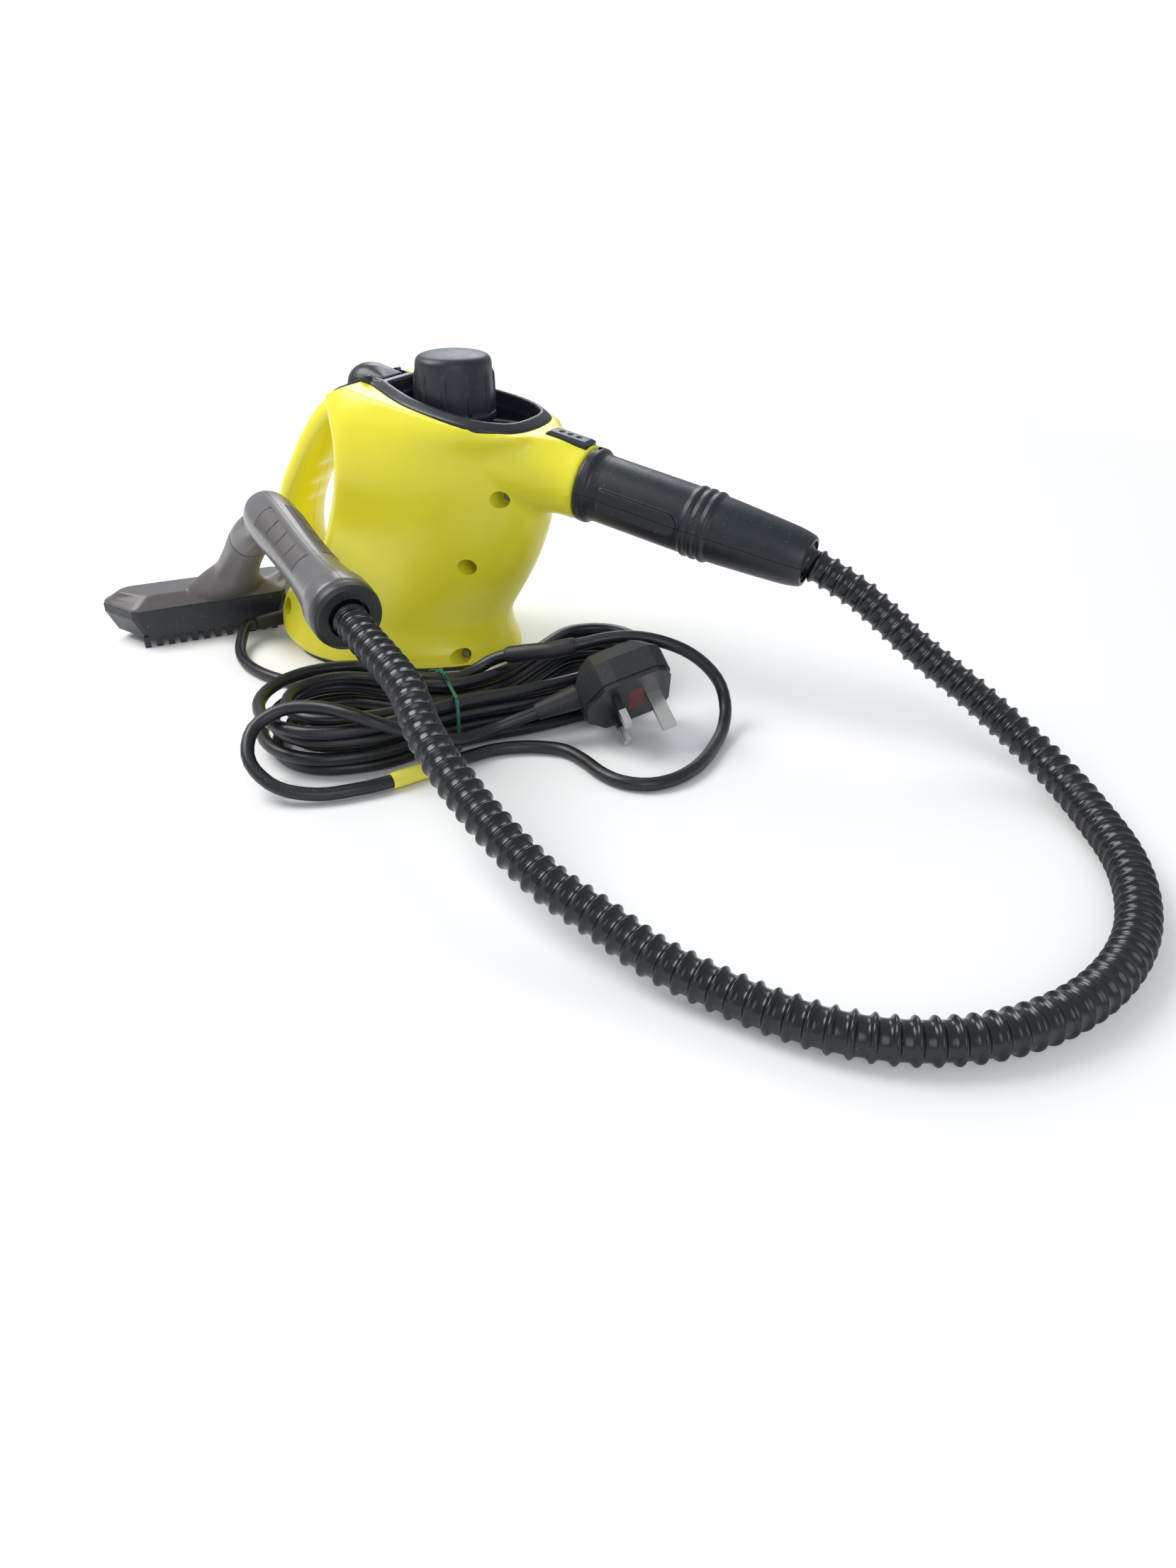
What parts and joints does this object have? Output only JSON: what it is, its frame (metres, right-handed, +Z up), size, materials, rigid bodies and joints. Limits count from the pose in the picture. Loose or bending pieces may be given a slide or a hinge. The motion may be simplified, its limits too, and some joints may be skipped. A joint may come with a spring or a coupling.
{
  "type": "hand-held wallpaper steamer",
  "caption": "Compact hand-held steamer for stripping wallpaper, with a ribbed steam hose, a pistol-grip steam head, a safety cap and a coiled mains cord with plug.",
  "frame": {"origin": "middle of the foot of the base plate, on the surface that the steamer stands on", "axes": "+X the way the steam nozzle points, +Y to the left side, +Z up"},
  "size_m": [0.6475, 0.3366, 0.184],
  "materials": {
    "housing_yellow": "glossy moulded plastic with a fine grain",
    "base_black": "plain moulded plastic",
    "cover_black": "satin blue-black plastic",
    "lock_grey": "satin plastic",
    "adapter_black": "satin blue-black plastic",
    "hose_black": "smooth ribbed hose with sharp highlights",
    "inner_black": "plain moulded plastic",
    "grip_grey": "warm grey satin plastic",
    "pad_grey": "fine ribs across the grip",
    "grip_screw_black": "black screw head in a recess",
    "skirt_black": "plain black plastic",
    "ring_black": "satin plastic",
    "cord_black": "smooth round cable sheath",
    "relief_black": "moulded rubber",
    "tie_green": "plastic covered wire",
    "tag_yellow": "pale yellow tape",
    "plug_black": "satin plastic",
    "pin_sleeve_black": "plain plastic",
    "fuse_red": "dark red plastic",
    "pin_metal": "bright nickel plate",
    "boiler_metal": "drawn and turned aluminium",
    "element_steel": "dull steel tube",
    "brass_fittings": "turned brass",
    "copper_pipe": "drawn copper tube",
    "fastener_steel": "zinc plated steel",
    "seal_red": "silicone rubber",
    "seal_black": "black rubber",
    "ceramic_cream": "cream ceramic-filled plastic"
  },
  "bodies": {
    "steamer": {"right_housing": "housing_yellow", "left_housing": "housing_yellow", "base_plate": "base_black", "top_cover": "cover_black", "cover_grommet": "cover_black", "lever_pin": "fastener_steel", "lever_spring": "fastener_steel", "filler_neck": "brass_fittings", "boiler_lower": "boiler_metal", "boiler_upper": "boiler_metal", "boiler_seal": "seal_red", "boiler_screws": "fastener_steel", "heating_element": "element_steel", "thermostat": "ceramic_cream", "thermal_fuse": "ceramic_cream", "steam_valve": "brass_fittings", "steam_pipe": "copper_pipe", "nozzle": "inner_black", "nozzle_seal": "seal_black", "button_spring": "fastener_steel", "housing_screws": "fastener_steel", "terminal_block": "ceramic_cream", "cord_clamp": "inner_black", "strain_relief": "relief_black", "adapter_upper": "adapter_black", "adapter_lower": "adapter_black", "adapter_pipe": "inner_black", "hose_bush": "inner_black", "steam_hose": "hose_black", "grip_right": "grip_grey", "grip_left": "grip_grey", "grip_ring": "ring_black", "grip_pads": "pad_grey", "grip_screws": "grip_screw_black", "hose_socket": "inner_black", "handpiece_pipe": "copper_pipe", "head_cover": "grip_grey", "head_skirt": "skirt_black", "sole_plate": "skirt_black", "power_cord_lead": "cord_black", "power_cord_hank": "cord_black", "power_cord_tail": "cord_black", "cord_ties": "tie_green", "cord_tag": "tag_yellow", "cord_sleeve": "relief_black", "plug_relief": "relief_black", "plug_body": "plug_black", "plug_face": "plug_black", "fuse_carrier": "fuse_red", "earth_pin": "pin_metal", "line_pins": "pin_metal", "pin_sleeves": "pin_sleeve_black"},
    "lever": {"steam_lever": "cover_black"},
    "plunger": {"valve_plunger": "fastener_steel"},
    "lock": {"child_lock": "lock_grey"},
    "button": {"release_button": "cover_black"},
    "cap_core": {"cap_plug": "brass_fittings", "cap_seal": "seal_red"},
    "cap_shell": {"safety_cap": "cover_black"}
  },
  "joints": [
    {"name": "lever_press", "type": "hinge", "parent": "steamer", "child": "lever", "pos_m": [-0.022, 0, 0.1535], "axis": [0, 1, 0], "range_deg": [0, 6.1], "stiffness_Nm_per_rad": 0.6, "springref_deg": -11.46, "deforming": ["lever_spring"]},
    {"name": "valve_stroke", "type": "slide", "parent": "steamer", "child": "plunger", "axis": [0, 0, -1], "range_m": [0, 0.0024]},
    {"name": "lock_slide", "type": "slide", "parent": "steamer", "child": "lock", "axis": [0, 1, 0], "range_m": [0, 0.005]},
    {"name": "button_press", "type": "slide", "parent": "steamer", "child": "button", "axis": [-0.1925, 0, -0.9813], "range_m": [0, 0.0025], "stiffness_N_per_m": 400, "springref_m": -0.002, "deforming": ["button_spring"]},
    {"name": "cap_lift", "type": "slide", "parent": "steamer", "child": "cap_core", "axis": [0, 0, 1], "range_m": [0, 0.026]},
    {"name": "cap_turn", "type": "hinge", "parent": "cap_core", "child": "cap_shell", "pos_m": [0.046, 0, 0.165], "axis": [0, 0, 1], "continuous": true}
  ],
  "couplings": [
    {"joint": "valve_stroke", "follows": "lever_press", "m_per_rad": 0.0225}
  ]
}
